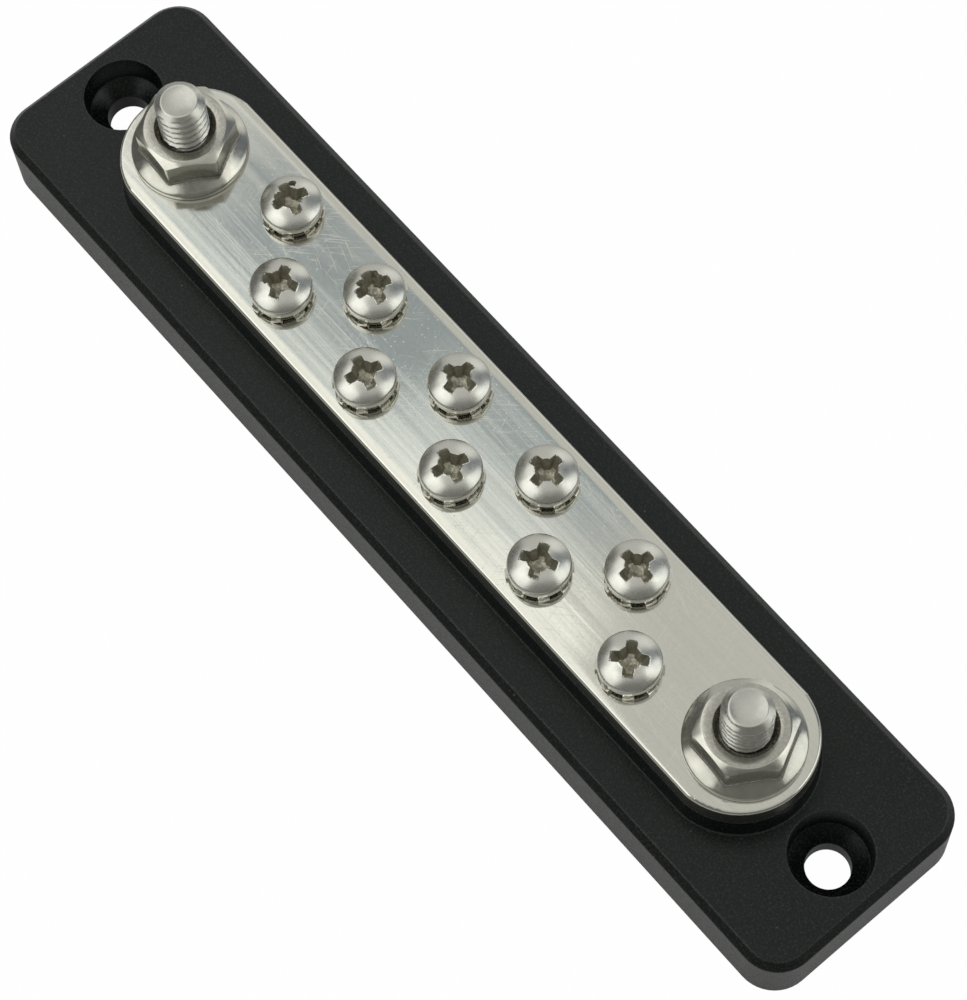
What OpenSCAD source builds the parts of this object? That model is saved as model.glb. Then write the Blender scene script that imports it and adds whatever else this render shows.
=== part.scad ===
// Bus bar: a plated bar with two studs and ten terminal screws on a moulded base.
// Millimetres, +Z up. The origin is under the middle of the base, on the surface it stands on.
// +X runs along the bar and +Y across it.

/* [Base] */
// Length of the base; the holes, the bar, the studs and the screws follow it
base_l = 150; // [130:1:200]
// Width of the base; the bar follows it
base_w = 31.4; // [29.6:0.1:40]
// Height of the base plate, from its foot to its top face
base_h = 9.75; // [9:0.25:14]
// Radius of the base's corners, seen from above
base_corner_r = 5; // [3.5:0.5:9]
// How far the chamfer round the top edge runs inwards
edge_run = 0.9; // [0.3:0.1:2]
// How far the chamfer round the top edge drops
edge_drop = 1.1; // [0.3:0.1:2]
// Width of the foot rim round the hollow underside
foot_rim_w = 2.4; // [1.2:0.1:2.8]
// Depth of the hollow underside
foot_depth = 1.7; // [0.5:0.1:2.5]

/* [Pedestal] */
// Height of the pedestal that carries the bar
pedestal_h = 3.45; // [2:0.05:8]
// How far the pedestal's foot stands out beyond the bar
pedestal_foot = 0.4; // [0.3:0.05:1]
// How far the pedestal's top stands out beyond the bar
pedestal_lip = 0.06; // [0.05:0.01:0.3]

/* [Mounting holes] */
// From the end of the base to the centre of a hole
hole_inset = 7.5; // [6.7:0.1:8.1]
// Diameter of the through hole
hole_d = 5.65; // [3.5:0.05:6.5]
// Diameter of the screw-head pocket at the top face
pocket_d = 10.4; // [9.8:0.1:11.2]
// Diameter of the screw-head pocket at the foot of its wall
pocket_floor_d = 9.7; // [7.5:0.1:9.8]
// Depth of the screw-head pocket at the foot of its wall
pocket_depth = 3.7; // [2:0.1:4.4]
// How far the pocket's coned floor drops from the wall to the through hole
pocket_floor_drop = 1.7; // [0.4:0.1:1.9]

/* [Bar] */
// From the end of the base to the end of the bar
bar_inset = 14.2; // [13.8:0.1:20]
// From the side of the base to the side of the bar
bar_margin = 6.15; // [4:0.05:7]
// Thickness of the bar
bar_t = 3.2; // [2:0.1:6]
// Radius of the bar's rolled edges
bar_edge_r = 0.45; // [0.2:0.05:0.9]
// How much the radius of the bar's end arcs exceeds half its width
bar_end_flare = 0.1; // [0.02:0.02:0.6]
// From the centre of a stud to the end of the bar
bar_reach = 8.7; // [8:0.1:12]

/* [Studs] */
// Diameter of the studs
stud_d = 6.3; // [5:0.1:7]
// Height of the studs' ends above the bar
stud_rise = 12.1; // [8:0.1:30]
// Size of the chamfer on the studs' ends
stud_chamfer = 0.9; // [0.2:0.1:1.5]
// From a stud to the nearest terminal screw, along the bar
stud_gap = 15.5; // [13:0.1:20]
// Width across the flats of the studs' heads
stud_head_af = 11.1; // [9:0.1:12]
// Height of the studs' heads
stud_head_h = 4; // [2.5:0.1:5]
// How far the studs' heads sit inside the hollow underside
stud_head_sink = 0.4; // [0.1:0.1:1]

/* [Flange nuts] */
// Width across the flats of the nuts
nut_af = 11.1; // [9.5:0.1:12.5]
// Height of the nuts
nut_h = 5.85; // [4.5:0.05:8]
// Diameter of the nuts' flanges
flange_d = 14.9; // [14.6:0.1:16.5]
// Thickness of the flange at its rim
flange_rim_t = 1; // [0.5:0.1:1.5]
// Slope of the flange's cone, in degrees
flange_slope = 32; // [15:1:40]
// Diameter of the flat ring on top of the nuts
nut_top_d = 10.3; // [9:0.1:11]
// Diameter of the countersink in the nuts' tops
nut_mouth_d = 7.75; // [7.2:0.05:8.5]

/* [Terminal screws] */
// Distance between the two rows of screws
row_gap = 8.23; // [6:0.01:9]
// Thread diameter of the terminal screws
screw_d = 4; // [3:0.1:4.2]
// Length of the terminal screws below their heads
screw_l = 9.5; // [6:0.5:12]
// Diameter of the screw heads
head_d = 7.8; // [7.4:0.1:8.6]
// Height of the screw heads
head_h = 2.75; // [2.6:0.05:3.4]
// Radius of the dome on the screw heads
head_dome_r = 7; // [6:0.1:9]
// Radius of the shoulder between the dome and the side of a head
head_shoulder_r = 1.3; // [0.6:0.1:1.6]
// Radius of the lower edge of a head
head_edge_r = 0.35; // [0.1:0.05:0.5]

/* [Cross recesses] */
// Span of the cross recess from tip to tip
recess_span = 4.5; // [3.6:0.1:5]
// Width of the recess's wings at the top
recess_wing_w = 1.25; // [0.8:0.05:1.5]
// Diameter of the recess's round core at the top
recess_core_d = 2.7; // [2:0.1:3.2]
// Depth of the recess
recess_depth = 1.9; // [1:0.1:2.2]
// Half angle of the recess's taper
recess_taper = 26.5; // [10:0.5:28]

/* [Lock washers] */
// Outer diameter over the washers' teeth
washer_d = 8.3; // [7.4:0.05:9]
// Diameter at the roots of the teeth
washer_root_d = 6.5; // [6:0.1:7]
// Thickness of the washers' sheet
washer_t = 0.5; // [0.3:0.05:0.6]
// How far the twisted teeth bite past the sheet on each face
tooth_bite = 0.23; // [0.02:0.01:0.3]
// Number of teeth
tooth_count = 8; // [6:1:10]
// Width of a tooth
tooth_w = 1.35; // [0.8:0.05:1.6]
// Twist of a tooth about its own length
tooth_twist = 25; // [10:1:30]

/* [Fits] */
// Clearance round a stud in the base, the bar and its head's pocket
stud_fit = 0.15; // [0.05:0.05:0.3]
// Clearance between an outer and an inner thread
thread_fit = 0.05; // [0.02:0.01:0.1]
// Clearance round a screw in its lock washer
washer_fit = 0.18; // [0.05:0.01:0.4]
// Room round a screw's tip in the pedestal
tip_room = 0.6; // [0.3:0.1:1]

/* [Hidden] */
$fn = 64;
// Sweep past a face so that a cut goes clean through it
over = 1;
screw_count = 10;
// Turn of each cross recess, in the order of the screws along the bar
recess_turn = [76, 30, 77, 75, 10, 76, 6, 31, -1, 41];
// Turn of each lock washer's teeth, in the same order
washer_turn = [-4, -5, -18, -2, -10, 1, -18, 12, -16, 1];
// Turn of each nut's hexagon
nut_turn = [-2, -3];
// Angle of the chamfers on the corners of the nuts and the studs' heads
hex_chamfer = 30;

plate_z = base_h;
seat_z = plate_z + pedestal_h;
bar_z = seat_z + bar_t;
washer_h = washer_t + 2 * tooth_bite;

hole_x = base_l / 2 - hole_inset;
bar_l = base_l - 2 * bar_inset;
bar_w = base_w - 2 * bar_margin;
bar_end_r = bar_w / 2 + bar_end_flare;
bar_end_x = bar_l / 2 - bar_end_r;

stud_x = bar_l / 2 - bar_reach;
stud_seat_z = foot_depth + stud_head_sink + stud_head_h;
stud_hole_d = stud_d + 2 * stud_fit;

// From one screw to the next along the bar, across the two rows
screw_step = 2 * (stud_x - stud_gap) / (screw_count - 1);
tip_z = bar_z + washer_h - screw_l;
head_r = head_d / 2;

screw_names = [for (i = [1 : screw_count]) str("terminal_screw_", i < 10 ? "0" : "", i)];
washer_names = [for (i = [1 : screw_count]) str("lock_washer_", i < 10 ? "0" : "", i)];

// Points on an arc, from one angle to another
function arc(centre, r, from, to, steps) =
    [for (i = [0 : steps]) centre + r * [cos(from + (to - from) * i / steps), sin(from + (to - from) * i / steps)]];

// Place of a screw: the two rows take turns along the bar
function screw_place(i) = [(i - (screw_count - 1) / 2) * screw_step, (i % 2 == 0 ? 1 : -1) * row_gap / 2];

// Side of the bar that a stud stands on, -1 or 1
function stud_side(i) = 2 * i - 1;

module at_screw(i) {
    translate(screw_place(i)) children();
}

module at_stud(i) {
    translate([stud_side(i) * stud_x, 0]) children();
}

module rounded_rect(l, w, r) {
    square([l - 2 * r, w], center = true);
    square([l, w - 2 * r], center = true);
    for (x = [-1, 1], y = [-1, 1])
        translate([x * (l / 2 - r), y * (w / 2 - r)]) circle(r);
}

// A flat-sided ridge along X: its section is a trapezium that stands on z = 0
module ridge(l, foot_w, top_w, h) {
    rotate([90, 0, 90])
        linear_extrude(l, center = true)
            polygon([[-foot_w / 2, 0], [foot_w / 2, 0], [top_w / 2, h], [-top_w / 2, h]]);
}

// A plate with rounded corners and a flat chamfer round its top edge
module chamfered_plate(l, w, r, h) {
    linear_extrude(h - edge_drop) rounded_rect(l, w, r);
    translate([0, 0, h - edge_drop]) {
        ridge(l - 2 * r, w, w - 2 * edge_run, edge_drop);
        rotate([0, 0, 90]) ridge(w - 2 * r, l, l - 2 * edge_run, edge_drop);
        for (x = [-1, 1], y = [-1, 1])
            translate([x * (l / 2 - r), y * (w / 2 - r)])
                cylinder(h = edge_drop, r1 = r, r2 = r - edge_run);
    }
}

// The raised block under the bar, with drafted sides that follow the bar's outline
module pedestal() {
    intersection() {
        ridge(base_l, bar_w + 2 * pedestal_foot, bar_w + 2 * pedestal_lip, pedestal_h);
        union() {
            translate([-bar_end_x, -bar_w, 0]) cube([2 * bar_end_x, 2 * bar_w, pedestal_h]);
            for (x = [-1, 1])
                translate([x * bar_end_x, 0])
                    cylinder(h = pedestal_h, r1 = bar_end_r + pedestal_foot, r2 = bar_end_r + pedestal_lip);
        }
    }
}

module hexagon(af, h) {
    cylinder(d = af / cos(30), h = h, $fn = 6);
}

// A hexagon whose upper corners are turned off at an angle, down to a flat ring
module turned_hexagon(af, h, top_d) {
    reach = af;
    intersection() {
        hexagon(af, h);
        translate([0, 0, h - reach * tan(hex_chamfer)])
            cylinder(h = reach * tan(hex_chamfer), r1 = top_d / 2 + reach, r2 = top_d / 2);
    }
}

// Mounting hole: a drafted pocket for a screw head, with a coned floor, over a plain through hole
module mounting_hole() {
    wall_z = plate_z - pocket_depth;
    draft = (pocket_d - pocket_floor_d) / 2 / pocket_depth;
    rotate_extrude()
        polygon([
            [0, -over],
            [hole_d / 2, -over],
            [hole_d / 2, wall_z - pocket_floor_drop],
            [pocket_floor_d / 2, wall_z],
            [pocket_d / 2 + draft * over, plate_z + over],
            [0, plate_z + over]
        ]);
}

module base() {
    color("#26292a")
        difference() {
            union() {
                chamfered_plate(base_l, base_w, base_corner_r, plate_z);
                translate([0, 0, plate_z]) pedestal();
            }
            translate([0, 0, -over])
                linear_extrude(foot_depth + over)
                    rounded_rect(base_l - 2 * foot_rim_w, base_w - 2 * foot_rim_w, base_corner_r - foot_rim_w);
            for (i = [0, 1]) {
                translate([stud_side(i) * hole_x, 0]) mounting_hole();
                at_stud(i) {
                    cylinder(d = stud_hole_d, h = seat_z + over);
                    hexagon(stud_head_af + 2 * stud_fit, stud_seat_z);
                }
            }
            for (i = [0 : screw_count - 1])
                at_screw(i)
                    translate([0, 0, tip_z - tip_room])
                        cylinder(d = screw_d + 2 * tip_room, h = seat_z - tip_z + tip_room + over);
        }
}

// Half section of a round plate with rolled edges, ready to be turned about Z
module rolled_half_section(r, t, edge) {
    square([r - edge, t]);
    translate([0, edge]) square([r, t - 2 * edge]);
    for (y = [edge, t - edge])
        translate([r - edge, y]) circle(edge);
}

module bar() {
    color("#c9c8c0")
        translate([0, 0, seat_z])
            difference() {
                intersection() {
                    rotate([90, 0, 90])
                        linear_extrude(bar_l + 2 * over, center = true)
                            translate([0, bar_t / 2]) rounded_rect(bar_w, bar_t, bar_edge_r);
                    union() {
                        translate([-bar_end_x, -bar_w, 0]) cube([2 * bar_end_x, 2 * bar_w, bar_t]);
                        for (x = [-1, 1])
                            translate([x * bar_end_x, 0])
                                rotate_extrude() rolled_half_section(bar_end_r, bar_t, bar_edge_r);
                    }
                }
                for (i = [0, 1])
                    at_stud(i)
                        translate([0, 0, -over]) cylinder(d = stud_hole_d, h = bar_t + 2 * over);
                for (i = [0 : screw_count - 1])
                    at_screw(i)
                        translate([0, 0, -over])
                            cylinder(d = screw_d + 2 * thread_fit, h = bar_t + 2 * over);
            }
}

// A hexagon-headed stud that comes up through the base and the bar
module stud(i) {
    top_z = bar_z + stud_rise;
    color("#b4b2aa")
        at_stud(i) {
            translate([0, 0, stud_seat_z])
                mirror([0, 0, 1])
                    turned_hexagon(stud_head_af, stud_head_h, stud_head_af * 0.93);
            translate([0, 0, stud_seat_z - over])
                cylinder(d = stud_d, h = top_z - stud_chamfer - stud_seat_z + over);
            translate([0, 0, top_z - stud_chamfer])
                cylinder(d1 = stud_d, d2 = stud_d - 2 * stud_chamfer, h = stud_chamfer);
        }
}

// A hexagon nut with a coned flange in one piece and a countersunk bore
module flange_nut(i) {
    bore_d = stud_d + 2 * thread_fit;
    mouth_depth = (nut_mouth_d - bore_d) / 2;
    // The cone ends inside the hexagon's flats
    root_r = nut_af * 0.45;
    cone_top = flange_rim_t + (flange_d / 2 - root_r) * tan(flange_slope);
    color("#b9b6ad")
        at_stud(i)
            translate([0, 0, bar_z])
                rotate([0, 0, nut_turn[i]])
                    difference() {
                        union() {
                            rotate_extrude()
                                polygon([[0, 0], [flange_d / 2, 0], [flange_d / 2, flange_rim_t],
                                         [root_r, cone_top], [0, cone_top]]);
                            turned_hexagon(nut_af, nut_h, nut_top_d);
                        }
                        translate([0, 0, -over]) cylinder(d = bore_d, h = nut_h + 2 * over);
                        translate([0, 0, nut_h - mouth_depth])
                            cylinder(d1 = bore_d, d2 = nut_mouth_d, h = mouth_depth);
                        translate([0, 0, nut_h]) cylinder(d = nut_mouth_d, h = over);
                    }
}

// Section of a pan head: rolled lower edge, short side, round shoulder and shallow dome
function pan_section() =
    let (dome_z = head_h - head_dome_r,
         shoulder_x = head_r - head_shoulder_r,
         shoulder_z = dome_z + sqrt(pow(head_dome_r - head_shoulder_r, 2) - pow(shoulder_x, 2)),
         meet = atan2(shoulder_z - dome_z, shoulder_x))
    concat([[0, 0]],
           arc([head_r - head_edge_r, head_edge_r], head_edge_r, -90, 0, 4),
           arc([shoulder_x, shoulder_z], head_shoulder_r, 0, meet, 6),
           arc([0, dome_z], head_dome_r, meet + (90 - meet) / 6, 90, 5));

// One tapered wing pair of the cross recess, along X, open at z = 0
module recess_wings() {
    narrow = recess_wing_w / 2 - recess_depth * tan(recess_taper / 4);
    slope = (recess_wing_w / 2 - narrow) / recess_depth;
    rotate([90, 0, 90])
        linear_extrude(recess_span + 2 * over, center = true)
            polygon([[-narrow, -recess_depth], [narrow, -recess_depth],
                     [recess_wing_w / 2 + slope * over, over], [-recess_wing_w / 2 - slope * over, over]]);
}

// Tapered plug from a diameter at z = 0 down to the recess's floor
module recess_cone(d, taper) {
    low = d / 2 - recess_depth * tan(taper);
    translate([0, 0, -recess_depth])
        cylinder(h = recess_depth + over, r1 = low, r2 = d / 2 + over * tan(taper));
}

// Cross recess: four wings in a taper round a core with a pointed floor
module cross_recess() {
    core_taper = recess_taper / 2;
    core_low = recess_core_d / 2 - recess_depth * tan(core_taper);
    intersection() {
        recess_cone(recess_span, recess_taper);
        union() {
            recess_wings();
            rotate([0, 0, 90]) recess_wings();
        }
    }
    recess_cone(recess_core_d, core_taper);
    translate([0, 0, -recess_depth - core_low / 3]) cylinder(h = core_low / 3, r1 = 0, r2 = core_low);
}

// A pan-head terminal screw, turned home on its lock washer
module terminal_screw(i) {
    tip_chamfer = screw_d / 8;
    // The recess is cut from where its wing tips break through the dome
    rim_drop = head_dome_r - sqrt(pow(head_dome_r, 2) - pow(recess_span / 2, 2));
    color("#bdbab2")
        at_screw(i)
            translate([0, 0, bar_z + washer_h]) {
                difference() {
                    rotate_extrude() polygon(pan_section());
                    translate([0, 0, head_h - rim_drop]) rotate([0, 0, recess_turn[i]]) cross_recess();
                }
                translate([0, 0, tip_chamfer - screw_l]) cylinder(d = screw_d, h = screw_l - tip_chamfer);
                translate([0, 0, -screw_l])
                    cylinder(h = tip_chamfer, d1 = screw_d - 2 * tip_chamfer, d2 = screw_d);
            }
}

// A lock washer with twisted outer teeth, pressed flat between the bar and a screw head
module lock_washer(i) {
    // Each tooth starts a sheet's thickness inside the ring and ends at the outer diameter
    start = washer_root_d / 2 - washer_t;
    color("#a9a69d")
        at_screw(i)
            translate([0, 0, bar_z])
                difference() {
                    union() {
                        translate([0, 0, tooth_bite]) cylinder(d = washer_root_d, h = washer_t);
                        intersection() {
                            cylinder(d = washer_d, h = washer_h);
                            for (k = [0 : tooth_count - 1])
                                rotate([0, 0, k * 360 / tooth_count + washer_turn[i]])
                                    translate([start, 0, washer_h / 2])
                                        rotate([tooth_twist, 0, 0])
                                            translate([0, -tooth_w / 2, -washer_t / 2])
                                                cube([washer_d / 2 - start + over, tooth_w, washer_t]);
                        }
                    }
                    translate([0, 0, -over]) cylinder(d = screw_d + 2 * washer_fit, h = washer_h + 2 * over);
                }
}

base();
bar();
stud(0);  // stud_1
stud(1);  // stud_2
flange_nut(0);  // flange_nut_1
flange_nut(1);  // flange_nut_2
for (i = [0 : screw_count - 1]) {
    terminal_screw(i);
    lock_washer(i);
}
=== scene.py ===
import math

import bmesh
import bpy
import numpy as np
from bpy.props import FloatProperty, FloatVectorProperty, IntProperty, PointerProperty
from mathutils import Matrix, Vector, geometry, noise


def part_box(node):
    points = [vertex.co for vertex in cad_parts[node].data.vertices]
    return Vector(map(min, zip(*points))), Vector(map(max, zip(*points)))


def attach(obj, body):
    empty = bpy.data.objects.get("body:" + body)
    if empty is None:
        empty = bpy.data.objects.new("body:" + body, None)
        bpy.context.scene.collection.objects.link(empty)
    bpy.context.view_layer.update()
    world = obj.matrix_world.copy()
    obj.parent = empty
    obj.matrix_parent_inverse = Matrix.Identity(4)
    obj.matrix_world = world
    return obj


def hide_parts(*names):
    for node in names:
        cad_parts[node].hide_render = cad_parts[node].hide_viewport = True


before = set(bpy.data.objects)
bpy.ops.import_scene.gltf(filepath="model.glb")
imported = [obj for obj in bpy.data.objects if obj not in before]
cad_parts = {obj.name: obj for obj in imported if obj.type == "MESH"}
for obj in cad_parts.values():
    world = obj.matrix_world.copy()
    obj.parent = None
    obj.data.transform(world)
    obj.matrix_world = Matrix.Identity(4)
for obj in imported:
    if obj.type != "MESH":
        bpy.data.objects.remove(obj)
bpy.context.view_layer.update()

bl_info = {
    "name": "Bus Bar",
    "version": (1, 0, 0),
    "blender": (4, 5, 0),
    "location": "View3D > Sidebar > Bus Bar",
    "description": "Dresses a packed stud and screw bus bar and sets a plain photo stage round it",
    "category": "Object",
}

MM = 0.001
BAR_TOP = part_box("bar")[1].z / MM
SCREW_NODES = sorted(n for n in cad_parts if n.startswith("terminal_screw"))
WASHER_NODES = sorted(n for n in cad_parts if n.startswith("lock_washer"))
STUD_NODES = sorted(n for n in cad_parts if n.startswith("stud"))
NUT_NODES = sorted(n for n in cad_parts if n.startswith("flange_nut"))

# Turns about the upright axis in degrees, from the first piece of its kind to the last
RECESS_TURNS = (76, 30, 77, 75, 10, 76, 6, 31, -1, 41)
NUT_TURNS = (-2, -3)
WASHER_TURNS = (-4, -5, -18, -2, -10, 1, -18, 12, -16, 1)
# Chewed places of a worn recess, by the screw's place in the row from nought:
# x, y, radius and depth in mm, in the recess's own axes
RECESS_WEAR = {
    0: ((1.07, 1.85, 0.45, 1.3), (-1.25, 0.85, 0.42, 0.9), (-1.0, 1.2, 0.3, 0.6)),
    1: ((-1.7, -0.5, 0.28, 0.8),),
    2: ((0.72, 1.5, 0.55, 1.2), (-1.16, 1.17, 0.5, 1.0), (1.3, 0.7, 0.3, 0.7)),
}
# Seed of the noise that roughens the recesses
NOISE_SEED = 5
# Angle in degrees, and height above the bar in mm, of one thread crest on each stud
THREAD_STARTS = ((-50.0, 5.49), (-50.0, 5.1))
# Where a thread's flank ends and how wide it is, in shares of half a pitch from the crest
THREAD_ROOT = 0.82
THREAD_FLANK = 0.64
# Sets of scratches on the bar: direction in radians, noise scale and noise shift
SCRATCHES = ((0.35, 0.8, 3.0), (-0.7, 1.0, 17.0), (1.25, 0.9, 31.0), (2.3, 1.1, 53.0), (0.05, 0.7, 71.0))

# Turn from the camera and elevation, in degrees, of the spots that make up the gap in the ceiling
CEILING_GAP = ((188.5, 62), (187, 63), (184.4, 64.2), (181.8, 65.2), (179, 65.9), (176.4, 67))
# Round patches of the studio, in the order in which they are laid: turn from the camera and elevation
# in degrees, cosines at which the patch begins and is full, and the stage colour that it takes
STUDIO_PATCHES = (
    (180, 50, 0.22, 0.46, "far_side"),
    (174, 65, 0.913, 0.978, "back_glow"),
    (114, 33, 0.86, 0.95, "shade"),
    (148, 22, 0.93, 0.985, "back_right"),
    (-100, 4, 0.80, 0.92, "low_left"),
    (-127, 2, 0.80, 0.90, "low_left"),
    (185.5, 59, 0.9978, 0.9993, "back_right"),
    *((turn, elevation, 0.99925, 0.9998, "ceiling") for turn, elevation in CEILING_GAP),
)
# Softboxes: name, turn from the camera and elevation in degrees, distance and size in metres,
# stage brightness and the share of it, and turn about the lamp's own axis in degrees
SOFTBOXES = (
    ("overhead_softbox", -135.1, 57.6, 1.7, (0.94, 1.30), "overhead", 1.0, 2.5),
    ("strip_softbox", 178.7, 67.4, 1.7, (0.152, 0.044), "overhead", 0.56, -50.0),
    ("left_softbox", -74.0, 45.0, 0.85, (0.68, 0.62), "left", 1.0, 0.0),
    ("right_softbox", 81.5, 33.5, 0.85, (0.46, 0.72), "right", 1.0, 45.0),
)
LAMP_COLOUR = (0.99, 1.0, 0.955)
LAMP_TARGET = (0, 0, 0.016)
SENSOR_MM = 36.0
# Half the floor's side and its drop below the base, in metres
FLOOR_REACH = 4.0
FLOOR_DROP = 0.0002
# Painted pool of light on the floor: distances in mm between which the floor's whiteness fades, and what is
# left of it
LIGHT_POOL_FADE = (110.0, 500.0)
LIGHT_POOL_RIM_WHITE = 0.4


def length(name, text, mm):
    """A size property, given in millimetres and kept in metres."""
    return FloatProperty(name=name, description=text, default=mm * MM, min=0.0, precision=5, unit="LENGTH")


def angle(name, text, degrees):
    """An angle property, given in degrees and kept in radians."""
    return FloatProperty(name=name, description=text, default=math.radians(degrees), subtype="ANGLE")


def factor(name, text, value, top=1.0):
    """A plain number from nought to its top."""
    return FloatProperty(name=name, description=text, default=value, min=0.0, max=top)


def colour(name, text, rgb):
    """A linear colour."""
    return FloatVectorProperty(name=name, description=text, default=rgb, size=3, min=0.0, max=4.0,
                               subtype="COLOR")


class BusBarStudSizes(bpy.types.PropertyGroup):
    """Sizes of the threaded studs"""

    stud_d: length("Diameter", "Diameter of the thread's crests", 6.3)
    pitch: length("Thread pitch", "Rise of the stud thread in one turn", 1.27)
    thread_depth: length("Thread depth", "Depth of the stud thread from crest to root", 0.62)
    end_chamfer: length("End chamfer", "Width of the cone turned on the stud's end", 0.85)
    end_cone: length("End cone", "Height of the cone turned on the stud's end", 0.6)
    end_round: length("End rounding", "Radius between the cone and the end face", 0.35)
    end_dish: length("End dish", "How far the end face is dished", 0.24)
    head_af: length("Head across flats", "Width of the hexagon head under the base", 11.1)
    head_h: length("Head height", "Height of the hexagon head", 4.0)


class BusBarNutSizes(bpy.types.PropertyGroup):
    """Sizes of the flange nuts"""

    across_flats: length("Across flats", "Width of the hexagon between two flats", 11.1)
    corner_cut: length("Corner rounding", "How far the hexagon's corners are worn back", 0.1)
    rim_t: length("Rim height", "Height of the flange's upright rim", 1.0)
    slope: angle("Flange slope", "Slope of the flange's cone", 32.0)
    top_d: length("Top ring", "Outer diameter of the flat ring on top", 10.3)
    bore_d: length("Bore", "Diameter of the bore", 6.4)
    fillet: length("Fillet", "Radius between the flange and the hexagon", 0.5)
    mouth_d: length("Mouth", "Diameter of the countersink at the top", 7.75)
    chamfer: angle("Corner chamfer", "Slope at which the hexagon's corners are turned off", 30.0)


class BusBarScrewSizes(bpy.types.PropertyGroup):
    """Sizes of the pan-head terminal screws"""

    screw_d: length("Thread diameter", "Diameter of the thread's crests", 4.0)
    head_h: length("Head height", "Height of the pan head's dome", 2.75)
    dome_r: length("Dome radius", "Radius of the dome", 6.4)
    shoulder_r: length("Shoulder radius", "Radius between the dome and the side", 0.5)
    edge_r: length("Lower edge radius", "Radius of the head's lower edge", 0.35)
    span: length("Recess span", "Cross recess from wing tip to wing tip", 4.5)
    wing_w: length("Wing width", "Width of a recess wing at the surface", 1.25)
    core_d: length("Recess core", "Diameter of the round core of the recess", 2.7)
    depth: length("Recess depth", "Depth of the recess below its wing tips", 1.9)
    taper: angle("Recess taper", "Slope of the wing tips from upright", 26.5)
    burr: length("Burr", "Height of the lip raised along the recess", 0.06)
    pitch: length("Thread pitch", "Rise of the screw thread in one turn", 0.7)
    thread_depth: length("Thread depth", "Depth of the screw thread", 0.38)


class BusBarWasherSizes(bpy.types.PropertyGroup):
    """Sizes of the lock washers"""

    outer_d: length("Outer diameter", "Diameter over the teeth", 8.3)
    ring_d: length("Ring", "Diameter of the flat ring at the roots of the teeth", 6.5)
    hole_d: length("Hole", "Diameter of the hole", 4.36)
    sheet_t: length("Sheet", "Thickness of the sheet", 0.5)
    tooth_w: length("Tooth width", "Width of a tooth", 1.35)
    twist: angle("Tooth twist", "How far each tooth is twisted", 25.0)
    count: IntProperty(name="Teeth", description="Number of teeth", default=8, min=4, max=16)


class BusBarFinish(bpy.types.PropertyGroup):
    """Colours of the finishes"""

    plastic: colour("Base plastic", "Moulded black plastic", (0.0008, 0.0019, 0.0018))
    plastic_pale: colour("Base plastic, pale", "Rubbed places on the plastic", (0.025, 0.0275, 0.0265))
    # Painted highlight along the plastic's rounded edges
    plastic_edge: colour("Base edges", "Rubbed edges of the plastic", (0.055, 0.058, 0.056))
    dust: colour("Dust", "Specks of dust on the plastic", (0.16, 0.16, 0.15))
    bar: colour("Bar plating", "Bright plating of the bar", (0.66, 0.655, 0.595))
    bar_dull: colour("Bar plating, dull", "Hazed and stained plating", (0.54, 0.545, 0.51))
    # Painted shade on the bar's upright sides, which are also rougher
    bar_side: colour("Bar sides", "Dull rolled sides of the bar", (0.34, 0.335, 0.29))
    screw: colour("Screw steel", "Steel of the screw heads", (0.65, 0.65, 0.605))
    screw_dull: colour("Screw steel, dull", "Handled places on the screw heads", (0.55, 0.55, 0.5))
    # Oil and dirt, and painted shade, in the screw recesses; the same colour darkens the pits on the bar
    grime: colour("Recess grime", "Oil and dirt in the screw recesses", (0.31, 0.293, 0.212))
    # Old oil and painted shade: darkens the nuts' mouths, top rings and the fillets at the hexagon's foot
    mouth: colour("Nut mouth", "Old oil in the mouths of the nuts", (0.1, 0.084, 0.06))
    nut: colour("Nut steel", "Steel of the flange nuts", (0.58, 0.572, 0.52))
    nut_dull: colour("Nut steel, dull", "Stained places on the nuts", (0.4, 0.392, 0.34))
    stud: colour("Stud steel", "Steel of the studs", (0.575, 0.575, 0.534))
    stud_dull: colour("Stud steel, dull", "Stained places on the studs", (0.45, 0.445, 0.405))
    washer: colour("Washer plating", "Plating of the lock washers", (0.78, 0.76, 0.69))
    washer_dull: colour("Washer plating, dull", "Dull places on the lock washers", (0.55, 0.53, 0.46))


class BusBarStage(bpy.types.PropertyGroup):
    """Camera, lights and floor"""

    view_azimuth: angle("View azimuth", "Direction of the camera round the bar", 54.713)
    view_elevation: angle("View elevation", "Height of the camera above the horizon", 67.48)
    view_roll: angle("View roll", "Turn of the camera about its own axis", -5.457)
    view_distance: length("View distance", "Distance from the camera to the base's centre", 400.805)
    view_right: length("View offset right", "How far the camera stands right of the base's centre", 2.7536)
    view_down: length("View offset down", "How far the camera stands below the base's centre", 1.9837)
    lens: FloatProperty(name="Lens", description="Focal length on a 36 mm sensor", default=118.306,
                        unit="CAMERA")
    overhead: factor("Overhead softbox", "Brightness of the softbox over the bar", 0.57, 4.0)
    left: factor("Left softbox", "Brightness of the softbox left of the bar", 1.0, 4.0)
    right: factor("Right softbox", "Brightness of the softbox right of the bar", 1.1, 4.0)
    far_side: colour("Far side", "Studio wall behind the bar", (0.64, 0.635, 0.61))
    near_side: colour("Camera side", "Dim studio behind the camera", (0.2, 0.2, 0.187))
    low_left: colour("Low left", "Dark studio low on the left", (0.14, 0.14, 0.13))
    back_glow: colour("Back glow", "Brighter part of the wall, high behind the bar", (0.73, 0.725, 0.69))
    back_right: colour("Back right glow", "Bright low corner behind the bar", (0.98, 0.98, 0.94))
    shade: colour("Shaded corner", "Dim blue corner of the studio", (0.2, 0.22, 0.24))
    ceiling: colour("Ceiling gap", "Blue gap beyond the overhead softbox", (0.4, 0.455, 0.485))
    floor: colour("Floor", "Pale floor", (0.52, 0.53, 0.52))
    floor_white: factor("Floor whiteness", "How far the floor shows as white paper", 0.99)
    floor_mirrored: factor("Mirrored whiteness", "How far it shows so in reflections", 0.18)


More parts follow.
